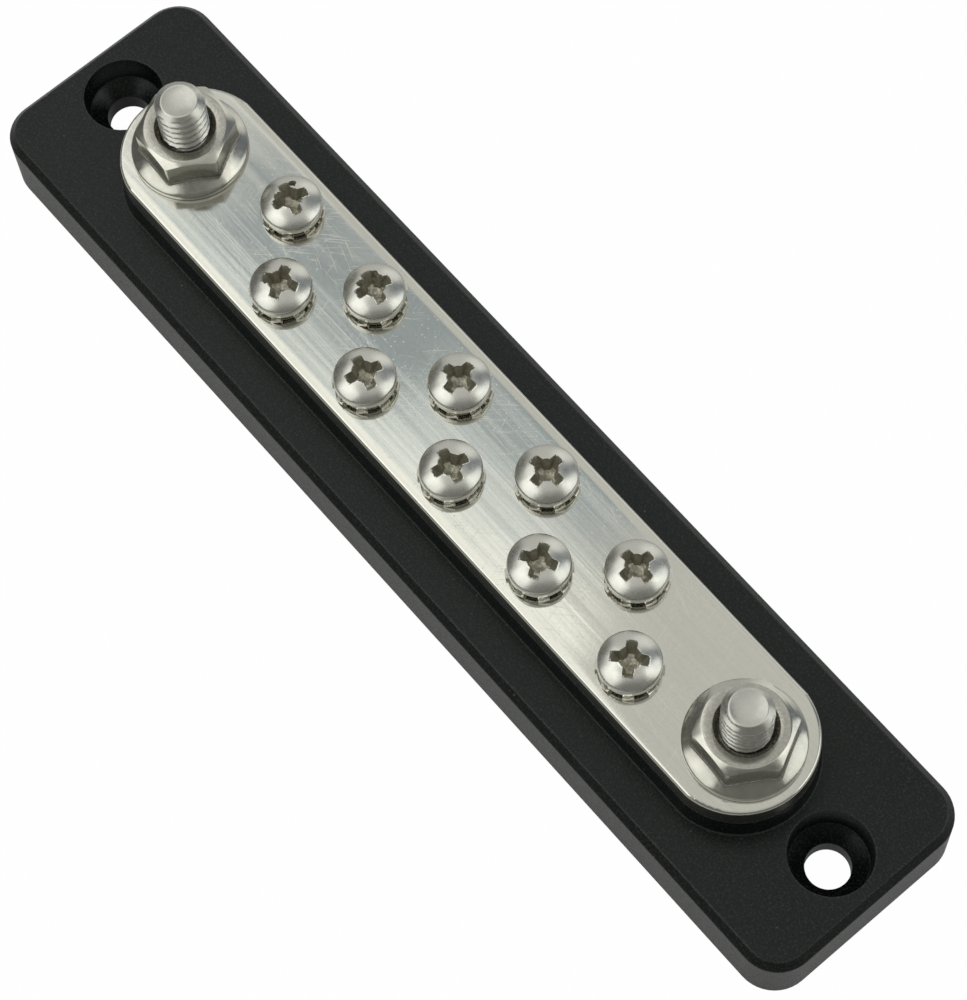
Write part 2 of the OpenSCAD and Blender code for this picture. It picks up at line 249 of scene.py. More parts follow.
class NodeGraph:
    """Builds a node tree with few words."""

    def __init__(self, tree):
        self.tree = tree
        self.tree.nodes.clear()

    def node(self, kind, inputs=None, **settings):
        """A node with its settings, and a value or a link on each socket named."""
        made = self.tree.nodes.new(kind)
        for key, value in settings.items():
            setattr(made, key, value)
        for key, value in (inputs or {}).items():
            if isinstance(value, bpy.types.NodeSocket):
                self.tree.links.new(value, made.inputs[key])
            else:
                made.inputs[key].default_value = value
        return made

    def vector(self, operation, first, second=None, **named):
        """A step of vector arithmetic."""
        inputs = {0: first, **named}
        if second is not None:
            inputs[1] = second
        return self.node("ShaderNodeVectorMath", inputs, operation=operation).outputs["Vector"]

    def dot(self, first, second):
        """How far two directions agree."""
        inputs = {0: first, 1: second}
        return self.node("ShaderNodeVectorMath", inputs, operation="DOT_PRODUCT").outputs["Value"]

    def band(self, value, low, high, to_low=0.0, to_high=1.0):
        """A smooth step from one value to another."""
        inputs = {"Value": value, "From Min": low, "From Max": high, "To Min": to_low, "To Max": to_high}
        return self.node("ShaderNodeMapRange", inputs, interpolation_type="SMOOTHSTEP").outputs["Result"]

    def math(self, operation, first, second):
        """A step of arithmetic, held between nought and one."""
        inputs = {0: first, 1: second}
        return self.node("ShaderNodeMath", inputs, operation=operation, use_clamp=True).outputs[0]

    def mix(self, share, first, second):
        """One colour laid over another."""
        inputs = {0: share}
        for socket, shade in ((6, first), (7, second)):
            inputs[socket] = shade if isinstance(shade, bpy.types.NodeSocket) else (*shade, 1.0)
        return self.node("ShaderNodeMix", inputs, data_type="RGBA").outputs[2]


class FinishGraph(NodeGraph):
    """Builds one node material, whose patterns are measured in millimetres."""

    def __init__(self, name):
        self.material = bpy.data.materials.new(name)
        self.material.use_nodes = True
        super().__init__(self.material.node_tree)
        self.output = self.node("ShaderNodeOutputMaterial")
        coords = self.node("ShaderNodeTexCoord").outputs["Object"]
        self.mm = self.vector("SCALE", coords, Scale=1.0 / MM)

    def noise(self, scale, detail=3.0, stretch=None, turn=0.0, rough=0.5, shift=0.0):
        """Cloudy noise, turned and shifted, then stretched."""
        place = self.mm
        if turn or shift:
            mapping = {"Vector": place, "Rotation": (0.0, 0.0, turn), "Location": (shift, shift, shift)}
            place = self.node("ShaderNodeMapping", mapping).outputs[0]
        if stretch:
            place = self.vector("MULTIPLY", place, stretch)
        inputs = {"Vector": place, "Scale": scale, "Detail": detail, "Roughness": rough}
        return self.node("ShaderNodeTexNoise", inputs).outputs["Fac"]

    def cells(self, scale):
        """Distance to the nearest of many scattered points."""
        return self.node("ShaderNodeTexVoronoi", {"Vector": self.mm, "Scale": scale}).outputs["Distance"]

    def specks(self, scale, rim, heart, where):
        """Small round spots, only where a second pattern lets them be."""
        return self.math("MULTIPLY", self.band(self.cells(scale), rim, heart), where)

    def facing(self):
        """Direction in which the surface faces."""
        return self.node("ShaderNodeNewGeometry").outputs["Normal"]

    def axis(self, vector, name):
        """One number of a vector."""
        return self.node("ShaderNodeSeparateXYZ", {0: vector}).outputs[name]

    def bump(self, height, distance_mm, strength=1.0, normal=None):
        """Relief of a given height."""
        inputs = {"Height": height, "Distance": distance_mm * MM, "Strength": strength}
        if normal is not None:
            inputs["Normal"] = normal
        return self.node("ShaderNodeBump", inputs).outputs["Normal"]

    def bevel(self, radius_mm):
        """Edges that look rounded."""
        return self.node("ShaderNodeBevel", {"Radius": radius_mm * MM}, samples=4).outputs["Normal"]

    def finish(self, base, rough, normal, metal=1.0, **sockets):
        """Ends the material with its shader."""
        inputs = {"Base Color": base, "Roughness": rough, "Normal": normal, "Metallic": metal}
        inputs.update({key.replace("_", " "): value for key, value in sockets.items()})
        shader = self.node("ShaderNodeBsdfPrincipled", inputs)
        self.tree.links.new(shader.outputs[0], self.output.inputs["Surface"])
        return self.material


def plastic_finish(tones):
    """Black moulded plastic: spark-eroded grain, a painted highlight along its edges and a little dust."""
    g = FinishGraph("moulded_black_plastic")
    mottle = g.band(g.noise(0.22, 3.0), 0.3, 0.72)
    grain = g.noise(3.4, 3.0, rough=0.65)
    dust = g.specks(0.6, 0.095, 0.045, g.band(g.noise(0.25, 2.0), 0.5, 0.62))
    base = g.mix(g.band(grain, 0.45, 0.75), tones.plastic, tones.plastic_pale)
    base = g.mix(g.math("MULTIPLY", mottle, 0.07), base, tones.plastic_pale)
    rounded = g.bevel(0.32)
    # Edges, where the rounded normal parts from the face's own, are painted lighter as a highlight
    edge = g.band(g.dot(rounded, g.facing()), 0.998, 0.96)
    edge_highlight = g.math("MULTIPLY", edge, g.band(grain, 0.3, 0.62, 0.35, 0.9))
    base = g.mix(edge_highlight, base, tones.plastic_edge)
    base = g.mix(g.math("MULTIPLY", dust, 0.6), base, tones.dust)
    rough = g.band(g.noise(2.4, 3.0), 0.3, 0.7, 0.25, 0.32)
    normal = g.bump(grain, 0.02, 0.8, rounded)
    return g.finish(base, rough, normal, 0.0, Specular_IOR_Level=0.30, Specular_Tint=(0.93, 1.0, 0.99, 1.0))


def bar_finish(tones):
    """Bright plated bar: drawing lines, shallow flutes, haze, scratches and pits, rougher at its sides,
    with painted shade there.
    """
    g = FinishGraph("plated_bar")
    streak = g.noise(1.0, 5.0, (0.012, 2.2, 2.2), rough=0.6)
    flute = g.noise(1.0, 2.0, (0.004, 0.30, 0.30), shift=11.0)
    hair = g.noise(1.0, 3.0, (0.006, 6.5, 6.5), rough=0.7, shift=23.0)
    haze = g.band(g.noise(0.16, 4.0, (0.45, 1.0, 1.0)), 0.38, 0.66)
    across = g.node("ShaderNodeMath", {0: g.axis(g.mm, "Y")}, operation="ABSOLUTE").outputs[0]
    outward = g.band(across, 7.9, 9.8)
    rolled = g.math("SUBTRACT", 1.0, g.math("MULTIPLY", outward, outward))
    # Faces that turn upright take painted shade and more roughness
    upright = g.band(g.axis(g.facing(), "Z"), 0.55, 0.20)
    speck = g.noise(2.4, 4.0, rough=0.7)
    marks = None
    for turn, scale, shift in SCRATCHES:
        line = g.band(g.noise(scale, 2.0, (0.16, 16.0, 16.0), turn, shift=shift), 0.67, 0.77)
        line = g.math("MULTIPLY", line, g.band(g.noise(0.13, 1.0, shift=shift + 5.0), 0.44, 0.6))
        marks = line if marks is None else g.math("MAXIMUM", marks, line)
    pits = g.specks(0.42, 0.07, 0.03, g.band(g.noise(0.11, 1.0, shift=77.0), 0.55, 0.62))
    nicks = g.specks(1.3, 0.13, 0.05, g.band(g.noise(0.09, 2.0, shift=41.0), 0.40, 0.56))
    base = g.mix(g.band(streak, 0.3, 0.75, 0.0, 0.35), tones.bar, tones.bar_dull)
    base = g.mix(g.math("MULTIPLY", haze, 0.25), base, tones.bar_dull)
    base = g.mix(g.band(speck, 0.45, 0.75, 0.0, 0.4), base, tones.bar_dull)
    base = g.mix(g.math("MULTIPLY", pits, 0.5), base, tones.grime)
    base = g.mix(upright, base, tones.bar_side)
    rough = g.band(streak, 0.25, 0.75, 0.04, 0.07)
    for pattern, more in ((haze, 0.04), (marks, 0.06), (upright, 0.22)):
        rough = g.math("ADD", rough, g.math("MULTIPLY", pattern, more))
    normal = g.bevel(0.1)
    for pattern, height_mm, strength in ((rolled, 0.085, 1.0), (flute, 0.022, 1.0), (streak, 0.0016, 1.0),
                                         (hair, 0.0009, 1.0), (speck, 0.002, 0.5), (marks, 0.0022, 0.6),
                                         (nicks, 0.009, 0.9)):
        normal = g.bump(pattern, height_mm, strength, normal)
    return g.finish(base, rough, normal)


def steel_finish(name, bright, dull, rough, stained, grain_mm, grime=None, edge_mm=0.0):
    """Plain turned steel: fine grain, stains, and dirt and painted shade where the mesh's marks say so."""
    g = FinishGraph(name)
    stain = g.band(g.noise(0.55, 4.0), 0.36, 0.72)
    fine = g.noise(4.5, 4.0)
    turn_marks = g.noise(1.0, 4.0, (1.2, 1.2, 11.0))
    base = g.mix(g.band(fine, 0.3, 0.75, 0.0, 0.12), bright, dull)
    base = g.mix(g.math("MULTIPLY", stain, stained), base, dull)
    gloss = g.band(g.noise(1.6, 3.0, shift=9.0), 0.3, 0.7, *rough)
    metal = 1.0
    if grime is not None:
        # Marks from the mesh lay dirt and painted shade in the screw recesses and in the nuts' mouths and
        # fillets
        dirt_and_shade = g.node("ShaderNodeAttribute", attribute_name="grime").outputs["Fac"]
        patchy = g.band(g.noise(3.0, 3.0, shift=21.0), 0.3, 0.62, 0.5, 1.0)
        dirt_and_shade = g.math("MULTIPLY", dirt_and_shade, patchy)
        base = g.mix(dirt_and_shade, base, grime)
        gloss = g.math("ADD", gloss, g.math("MULTIPLY", dirt_and_shade, 0.06))
        metal = g.band(dirt_and_shade, 0.0, 1.0, 1.0, 0.5)
    normal = g.bump(turn_marks, grain_mm, 0.6, g.bevel(edge_mm) if edge_mm else None)
    normal = g.bump(fine, grain_mm, 0.25, normal)
    return g.finish(base, gloss, normal, metal)


def piece(name, node, vertices, faces, material, crease, marks=None):
    """Makes a piece from millimetres, puts it on the body and stands it for its node.

    Edges sharper than the crease angle, in degrees, stay sharp, and marks say how much dirt and painted
    shade each point takes."""
    mesh = bpy.data.meshes.new(name)
    mesh.from_pydata((np.asarray(vertices, float) * MM).tolist(), [], faces)
    if marks is not None:
        layer = mesh.attributes.new("grime", "FLOAT", "POINT")
        layer.data.foreach_set("value", np.asarray(marks, np.float32))
    shape = bmesh.new()
    shape.from_mesh(mesh)
    bmesh.ops.recalc_face_normals(shape, faces=shape.faces)
    for face in shape.faces:
        face.smooth = True
    for edge in shape.edges:
        edge.smooth = edge.is_manifold and edge.calc_face_angle() < math.radians(crease)
    shape.to_mesh(mesh)
    shape.free()
    made = bpy.data.objects.new(name, mesh)
    bpy.context.scene.collection.objects.link(made)
    mesh.materials.append(material)
    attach(made, "root")
    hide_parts(node)


def dress(node, material):
    """Gives a CAD node its finish."""
    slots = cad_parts[node].material_slots
    if not slots:
        raise RuntimeError(f"{node} has no material slot")
    for one in slots:
        one.material = material


def node_box(node):
    """A CAD node's lowest and highest corner, and its middle seen from above, in millimetres."""
    lo, hi = (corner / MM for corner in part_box(node))
    return lo, hi, np.array([(lo.x + hi.x) / 2, (lo.y + hi.y) / 2, 0])


def turned(points, degrees):
    """Points turned about the upright axis."""
    return points @ np.array(Matrix.Rotation(math.radians(degrees), 3, "Z")).T


def wrap(count, around, first=0):
    """Quads that join a count of rings, each with as many points around, into a tube."""
    faces = []
    for r in range(count - 1):
        low, high = first + r * around, first + (r + 1) * around
        for t in range(around):
            after = (t + 1) % around
            faces.append((low + t, low + after, high + after, high + t))
    return faces


def fan(ring, centre):
    """Triangles from a closed ring to one point."""
    return [(ring[k], ring[(k + 1) % len(ring)], centre) for k in range(len(ring))]


def hexagon_angles():
    """Angles round a hexagon, close together at its corners."""
    steps = np.radians([-30, -29, -27.5, -25, -20, -13, -6.5, 0, 6.5, 13, 20, 25, 27.5, 29])
    return np.concatenate([steps + math.radians(30 + 60 * k) for k in range(6)])


def hexagon_radius(theta, across, cut):
    """Distance from the axis to a hexagon's side, corners at multiples of 60 degrees."""
    off = np.mod(theta, math.pi / 3) - math.pi / 6
    return np.minimum(across / 2 / np.cos(off), across / math.sqrt(3) - cut)


def thread_drop(theta, z, pitch, depth, start):
    """How far a right-hand thread lies below its crest."""
    turns = (z - start) / pitch - theta / (2 * math.pi)
    off = np.abs(np.mod(turns + 0.5, 1.0) - 0.5) * 2
    rise = np.clip((THREAD_ROOT - off) / THREAD_FLANK, 0, 1)
    return depth * (1 - rise)


def ring_points(theta, radius, z):
    """One ring of points."""
    radius, z = np.broadcast_to(radius, theta.shape), np.broadcast_to(z, theta.shape)
    return np.stack([radius * np.cos(theta), radius * np.sin(theta), z], 1)


def stud_mesh(sizes, lo, hi, start):
    """A stud: hexagon head, plain neck, rolled thread and coned end."""
    corner_cut, edge_break, neck_round, neck_above_seat = 0.08, 0.12, 0.25, 0.6
    thread_below_bar, run_in, step, seam = 1.0, 1.5, 0.07, 0.005
    head_ring, head_slope = 0.465, math.radians(30)
    theta = hexagon_angles()
    r = sizes.stud_d / 2
    seat = lo + sizes.head_h
    side = hexagon_radius(theta, sizes.head_af, corner_cut)
    ring_r = sizes.head_af * head_ring
    rings = [ring_points(theta, ring_r, lo),
             ring_points(theta, side, lo + np.maximum(side - ring_r, 0.0) * math.tan(head_slope)),
             ring_points(theta, side, seat - edge_break),
             ring_points(theta, side - edge_break, seat),
             ring_points(theta, r + neck_round, seat),
             ring_points(theta, r, seat + neck_round)]
    thread_from = BAR_TOP - thread_below_bar
    rings += [ring_points(theta, r, z) for z in np.linspace(seat + neck_above_seat, thread_from, 6)]
    round_r = sizes.end_round
    splay = sizes.end_chamfer / sizes.end_cone
    lean = math.atan(splay)
    flat_r = r - sizes.end_chamfer + round_r * (splay * (1 - math.sin(lean)) - math.cos(lean))
    for z in np.arange(thread_from + step, hi - round_r * (1 - math.sin(lean)) - seam, step):
        depth = sizes.thread_depth * min(1.0, (z - thread_from) / run_in)
        thread = r - thread_drop(theta, z, sizes.pitch, depth, start)
        cone = r - sizes.end_chamfer + (hi - z) * splay
        rings.append(ring_points(theta, np.minimum(thread, cone), z))
    rings += [ring_points(theta, flat_r + round_r * math.cos(a), hi - round_r + round_r * math.sin(a))
              for a in np.linspace(lean, math.pi / 2, 6)]
    rings += [ring_points(theta, flat_r * share, hi - sizes.end_dish * (1 - share ** 3))
              for share in (0.93, 0.8, 0.6, 0.4, 0.2)]
    points = np.concatenate(rings + [np.array([[0, 0, lo], [0, 0, hi - sizes.end_dish]])])
    n = len(theta)
    faces = wrap(len(rings), n)
    low_ring = list(range(n))[::-1]
    high_ring = list(range((len(rings) - 1) * n, len(rings) * n))
    faces += fan(low_ring, len(points) - 2) + fan(high_ring, len(points) - 1)
    return points, faces


def nut_mesh(sizes, base, height):
    """A flange nut: upright rim, coned flange, filleted hexagon, turned corners, countersink and bore.

    Each row is a ring's radius, its height and how much dirt and painted shade it takes."""
    edge_break, rim_r = 0.12, 0.3
    theta = hexagon_angles()
    side = hexagon_radius(theta, sizes.across_flats, sizes.corner_cut)
    rise, fall = math.tan(sizes.slope), math.tan(sizes.chamfer)
    outer, bore = sizes.flange_r, sizes.bore_d / 2
    mouth, top = sizes.mouth_d / 2, sizes.top_d / 2
    countersink = height - (mouth - bore)
    rim_z = sizes.rim_t - rim_r

    def cone(radius):
        return sizes.rim_t + (outer - radius) * rise

    rows = [(bore, 0.0, 0.0),
            (bore + 0.4, 0.0, 0.0),
            (outer - 0.5, 0.0, 0.0),
            (outer - edge_break, 0.0, 0.0),
            (outer, edge_break, 0.0),
            (outer, rim_z, 0.0)]
    for turn in np.radians([14.5, 29, 43.5, 58]):
        rows.append((outer - rim_r * (1 - math.cos(turn)), rim_z + rim_r * math.sin(turn), 0.0))
    edge_r, edge_z, _ = rows[-1]
    shift = edge_z - cone(edge_r)
    start = side + sizes.fillet * (1 - math.sin(sizes.slope))
    # The flange darkens towards the fillet: painted shade
    for share, dirt_and_shade in ((0.2, 0.0), (0.5, 0.0), (0.8, 0.1), (1.0, 0.25)):
        radius = edge_r + (start - edge_r) * share
        rows.append((radius, cone(radius) + shift, dirt_and_shade))
    wall = cone(start) + shift + sizes.fillet * math.cos(sizes.slope)
    # The fillet and the lower hexagon wall take painted shade in the crease
    for turn in np.linspace(sizes.slope, math.pi / 2, 9)[1:]:
        rows.append((side + sizes.fillet * (1 - math.sin(turn)), wall - sizes.fillet * math.cos(turn), 0.6))
    shoulder = height - np.maximum(side - top, 0.0) * fall
    rows += [(side, wall + (shoulder - wall) * 0.5, 0.3), (side, shoulder, 0.0)]
    inner = np.minimum(side, top)
    # The top ring, the mouth and the bore darken inward: old oil and painted shade
    for out, drop, dirt_and_shade in ((0.15, 0.0866, 0.0), (0.05, 0.045, 0.0),
                            (-0.05, 0.012, 0.25), (-0.2, 0.0, 0.25)):
        rows.append((np.minimum(inner + out, side - 0.01), height - drop, dirt_and_shade))
    rows += [((top + mouth) / 2, height, 0.3),
             (mouth + 0.12, height, 0.35),
             (mouth + 0.02, height - 0.02, 0.55),
             (mouth - 0.05, height - 0.09, 1.0),
             (bore + 0.05, countersink, 1.0),
             (bore, countersink - 0.1, 1.0),
             (bore, height * 0.6, 1.0),
             (bore, height * 0.3, 1.0)]
    rings = [ring_points(theta, radius, np.asarray(z) + base) for radius, z, dirt_and_shade in rows]
    n = len(theta)
    marks = np.repeat([dirt_and_shade for radius, z, dirt_and_shade in rows], n)
    faces = wrap(len(rings), n)
    last = (len(rings) - 1) * n
    faces += [(last + t, last + (t + 1) % n, (t + 1) % n, t) for t in range(n)]
    return np.concatenate(rings), faces, marks


def recess_floor(x, y, s):
    """Height of the cross recess's floor and walls above its wing-tip plane."""
    r = np.hypot(x, y)
    slope, tip_slope, core_slope = math.tan(s.taper / 4), math.tan(s.taper), math.tan(s.taper / 2)
    narrow = s.wing_w / 2 - s.depth * slope
    tip = -s.depth + (r - (s.span / 2 - s.depth * tip_slope)) / tip_slope

    def wing(across):
        wall = -s.depth + (np.abs(across) - narrow) / slope
        return np.maximum(np.maximum(wall, tip), -s.depth)

    core_low = s.core_d / 2 - s.depth * core_slope
    core_wall = -s.depth + (r - core_low) / core_slope
    core_point = -s.depth - (core_low - np.minimum(r, core_low)) / 3
    core = np.maximum(core_wall, core_point)
    return np.minimum(np.minimum(wing(x), wing(y)), core)


def recess_grid(s, around, reach):
    """Points over the recess, ringed by the dome's first ring, and their triangles.

    The points lie closer together along the walls of the wings."""
    coarse, fine, below_wall, above_wall, margin = 0.095, 0.03, 0.26, 0.13, 0.05
    half = s.wing_w / 2
    lines = np.concatenate([np.arange(0.0, reach, coarse),
                            np.arange(half - below_wall, half + above_wall, fine)])
    lines = np.unique(np.round(np.concatenate([-lines, lines]), 4))
    x, y = np.meshgrid(lines, lines)
    inside = np.hypot(x, y) < reach - margin
    ring = ring_points(around, reach, 0.0)[:, :2]
    flat = np.concatenate([np.stack([x[inside], y[inside]], 1), ring])
    made = geometry.delaunay_2d_cdt([Vector(p) for p in flat], [], [], 0, 1e-5)
    origin = [ids[0] for ids in made[3]]
    if len(origin) != len(flat):
        raise RuntimeError("the recess grid lost points")
    return flat, [tuple(origin[v] for v in face) for face in made[2]]


def recess_top(s, number, flat, dome_z):
    """Heights over the recess and the dome round it, and how much dirt and painted shade each point takes,
    the more the deeper it lies.
    """
    waves, apart, finer = 2.6, 7.3, 2.7
    lip_w, lip_past_tips, ripple, darkening_depth, untouched = 0.42, 0.12, 0.02, 0.30, 9.0
    x, y = flat[:, 0], flat[:, 1]
    worn = RECESS_WEAR.get(number, ())
    ragged = 0.055 if worn else 0.016
    seeds = [Vector((px * waves, py * waves, apart * number)) for px, py in flat]
    jitter = np.array([noise.noise_vector(v) for v in seeds])
    fine = np.array([noise.noise(v * finer) for v in seeds])
    wx, wy = x + ragged * jitter[:, 0], y + ragged * jitter[:, 1]
    dome = dome_z + np.sqrt(s.dome_r ** 2 - x * x - y * y)
    rim_z = dome_z + math.sqrt(s.dome_r ** 2 - (s.span / 2) ** 2)
    floor = recess_floor(wx, wy, s) + rim_z
    for gx, gy, radius, deep in worn:
        off = np.hypot(wx - gx, wy - gy) / (radius * (1 + 0.35 * jitter[:, 2]))
        chewed = dome - deep * (1 - off ** 3) * (0.8 + 0.5 * fine)
        floor = np.minimum(floor, np.where(off < 1.15, chewed, untouched))
    gap = floor - dome
    lip = np.exp(-(np.clip(gap, 0, None) / lip_w) ** 2) * (0.55 + 0.9 * np.clip(fine + 0.3, 0, 1))
    lip *= np.where(np.hypot(x, y) < s.span / 2 + lip_past_tips, 1.0, 0.0)
    z = np.where(gap > 0, dome + s.burr * lip, floor + ripple * fine)
    # Dirt and painted shade, fuller the deeper a point lies below the dome
    return z, np.clip((dome - z) / darkening_depth, 0, 1)


def screw_mesh(s, number, turn, grid, around, seat, tip_z):
    """A pan-head screw: dome with a struck cross recess, rolled shoulder and edge, threaded shank."""
    neck, run_in, step, tip_in, tip_end = 0.5, 0.7, 0.0875, 0.5, 0.55
    flat, triangles = grid
    head_r, screw_r = s.head_d / 2, s.screw_d / 2
    dome_z = s.head_h - s.dome_r
    z, grime = recess_top(s, number, flat, dome_z)
    shoulder_x = head_r - s.shoulder_r
    shoulder_z = dome_z + math.sqrt((s.dome_r - s.shoulder_r) ** 2 - shoulder_x ** 2)
    meet = math.atan2(shoulder_z - dome_z, shoulder_x)
    reach = np.hypot(*flat[-1])
    rows = [(radius, dome_z + math.sqrt(s.dome_r ** 2 - radius ** 2))
            for radius in np.linspace(reach, s.dome_r * math.cos(meet), 5)[1:]]
    rows += [(shoulder_x + s.shoulder_r * math.cos(a), shoulder_z + s.shoulder_r * math.sin(a))
             for a in np.linspace(meet, 0, 9)[1:]]
    rows += [(head_r - s.edge_r + s.edge_r * math.cos(a), s.edge_r + s.edge_r * math.sin(a))
             for a in np.linspace(0, -math.pi / 2, 5)]
    rows += [(screw_r + 0.7, 0.0), (screw_r + 0.1, 0.0), (screw_r, -0.12), (screw_r, -neck)]
    rings = [ring_points(around, radius, z_row) for radius, z_row in rows]
    bottom = tip_z - seat
    for z_row in np.arange(-0.58, bottom, -step):
        depth = s.thread_depth * min(1.0, (-neck - z_row) / run_in)
        thread = screw_r - thread_drop(around, z_row, s.pitch, depth, 0.0)
        rings.append(ring_points(around, np.minimum(thread, screw_r - tip_in + (z_row - bottom)), z_row))
    rings.append(ring_points(around, screw_r - tip_end, bottom))
    n, first = len(around), len(flat) - len(around)
    points = np.concatenate([np.column_stack([flat, z])] + rings + [np.array([[0, 0, bottom]])])
    faces = list(triangles) + wrap(len(rings) + 1, n, first)
    last = first + len(rings) * n
    faces += fan(list(range(last, last + n)), len(points) - 1)
    marks = np.concatenate([grime, np.zeros(len(points) - len(grime))])
    return turned(points, turn) + np.array([0, 0, seat]), faces, marks


def washer_mesh(s):
    """A lock washer: a flat ring whose outer teeth are twisted and pressed flat top and bottom."""
    columns, gap_columns, rows_out, twisted_by = 7, 7, 7, 0.45
    ring_r, half_w, mid = s.ring_d / 2, s.tooth_w / 2, s.height / 2
    sector = 2 * math.pi / s.count
    across = np.linspace(-half_w, half_w, columns)
    root = np.arcsin(across / ring_r)
    gap = np.linspace(root[-1], sector + root[0], gap_columns)[1:-1]
    local = np.concatenate([root, gap])
    theta = np.concatenate([local + sector * k for k in range(s.count)])
    n, per = len(theta), len(local)
    low, high = mid - s.sheet_t / 2, mid + s.sheet_t / 2
    rings = [(s.hole_d / 2, low), (s.hole_d / 2, high), (ring_r, high), (ring_r, low)]
    points = [ring_points(theta, radius, z) for radius, z in rings]
    faces = wrap(3, n)
    faces += [(3 * n + t, 3 * n + (t + 1) % n, (t + 1) % n, t) for t in range(n)]
    for t in range(n):
        if t % per >= columns - 1:
            faces.append((2 * n + t, 2 * n + (t + 1) % n, 3 * n + (t + 1) % n, 3 * n + t))
    count = 4 * n
    start = np.sqrt(ring_r ** 2 - across ** 2)
    reach = np.sqrt((s.outer_d / 2) ** 2 - across ** 2) - start
    for k in range(s.count):
        axis = np.array([math.cos(sector * k), math.sin(sector * k)])
        side = np.array([-axis[1], axis[0]])
        top = [[2 * n + k * per + j for j in range(columns)]]
        bottom = [[3 * n + k * per + j for j in range(columns)]]
        for share in np.linspace(0, 1, rows_out)[1:]:
            lean = math.tan(s.twist) * min(1.0, share / twisted_by)
            out = start + reach * share
            place = out[:, None] * axis + across[:, None] * side
            for rows, z in ((top, high), (bottom, low)):
                level = np.clip(z + across * lean, 0.0, s.height)
                points.append(np.column_stack([place, level]))
                rows.append(list(range(count, count + columns)))
                count += columns
        for rows in (top, bottom):
            for a, b in zip(rows, rows[1:]):
                faces += [(a[j], a[j + 1], b[j + 1], b[j]) for j in range(columns - 1)]
        for j in (0, columns - 1):
            for t0, t1, b0, b1 in zip(top, top[1:], bottom, bottom[1:]):
                faces.append((t0[j], t1[j], b1[j], b0[j]))
        a, b = top[-1], bottom[-1]
        faces += [(a[j], a[j + 1], b[j + 1], b[j]) for j in range(columns - 1)]
    return np.concatenate(points), faces


class SizesInMm:
    """A property group's lengths in millimetres and angles in radians, with sizes from the CAD nodes."""

    def __init__(self, group, **extra):
        for key in group.__annotations__:
            unit = group.bl_rna.properties[key].unit
            value = getattr(group, key)
            setattr(self, key, value / MM if unit == "LENGTH" else value)
        for key, value in extra.items():
            setattr(self, key, value)


class BUSBAR_OT_base(bpy.types.Operator):
    """Finish the moulded base"""

    bl_idname = "bus_bar.base"
    bl_label = "Moulded Base"

    def execute(self, context):
        dress("base", plastic_finish(context.scene.bus_bar_finish))
        return {"FINISHED"}


class BUSBAR_OT_bar(bpy.types.Operator):
    """Finish the plated bar"""

    bl_idname = "bus_bar.bar"
    bl_label = "Plated Bar"

    def execute(self, context):
        dress("bar", bar_finish(context.scene.bus_bar_finish))
        return {"FINISHED"}


class BUSBAR_OT_studs(bpy.types.Operator):
    """Make the threaded studs"""

    bl_idname = "bus_bar.studs"
    bl_label = "Threaded Studs"

    def execute(self, context):
        tones = context.scene.bus_bar_finish
        steel = steel_finish("stud_steel", tones.stud, tones.stud_dull, rough=(0.26, 0.34),
                             stained=0.3, grain_mm=0.0004)
        sizes = SizesInMm(context.scene.bus_bar_stud)
        for node, (turn, height) in zip(STUD_NODES, THREAD_STARTS):
            lo, hi, centre = node_box(node)
            start = BAR_TOP + height - sizes.pitch * turn / 360
            points, faces = stud_mesh(sizes, lo.z, hi.z, start)
            piece("threaded_" + node, node, points + centre, faces, steel, crease=40.0)
        return {"FINISHED"}


class BUSBAR_OT_nuts(bpy.types.Operator):
    """Make the flange nuts"""

    bl_idname = "bus_bar.nuts"
    bl_label = "Flange Nuts"

    def execute(self, context):
        tones = context.scene.bus_bar_finish
        # Nut steel with old oil and painted shade in the mouths and fillets
        steel = steel_finish("nut_steel", tones.nut, tones.nut_dull, rough=(0.13, 0.21),
                             stained=0.35, grain_mm=0.0008, grime=tones.mouth)
        for node, turn in zip(NUT_NODES, NUT_TURNS):
            lo, hi, centre = node_box(node)
            sizes = SizesInMm(context.scene.bus_bar_nut, flange_r=(hi.x - lo.x) / 2)
            points, faces, marks = nut_mesh(sizes, lo.z, hi.z - lo.z)
            points = turned(points, turn) + centre
            piece("dressed_" + node, node, points, faces, steel, crease=26.0, marks=marks)
        return {"FINISHED"}


class BUSBAR_OT_screws(bpy.types.Operator):
    """Make the terminal screws"""

    bl_idname = "bus_bar.screws"
    bl_label = "Terminal Screws"

    def execute(self, context):
        grid_past_tips, points_around = 0.37, 96
        tones = context.scene.bus_bar_finish
        # Screw steel with dirt and painted shade laid in the recesses
        steel = steel_finish("screw_steel", tones.screw, tones.screw_dull, rough=(0.25, 0.30),
                             stained=0.18, grain_mm=0.0006, grime=tones.grime)
        around = np.linspace(0, 2 * math.pi, points_around, endpoint=False)
        noise.seed_set(NOISE_SEED)
        grid = None
        for number, (node, turn) in enumerate(zip(SCREW_NODES, RECESS_TURNS)):
            lo, hi, centre = node_box(node)
            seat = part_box(WASHER_NODES[number])[1].z / MM
            sizes = SizesInMm(context.scene.bus_bar_screw, head_d=hi.x - lo.x)
            grid = grid or recess_grid(sizes, around, sizes.span / 2 + grid_past_tips)
            points, faces, marks = screw_mesh(sizes, number, turn, grid, around, seat, lo.z)
            points += centre
            piece("dressed_" + node, node, points, faces, steel, crease=48.0, marks=marks)
        return {"FINISHED"}


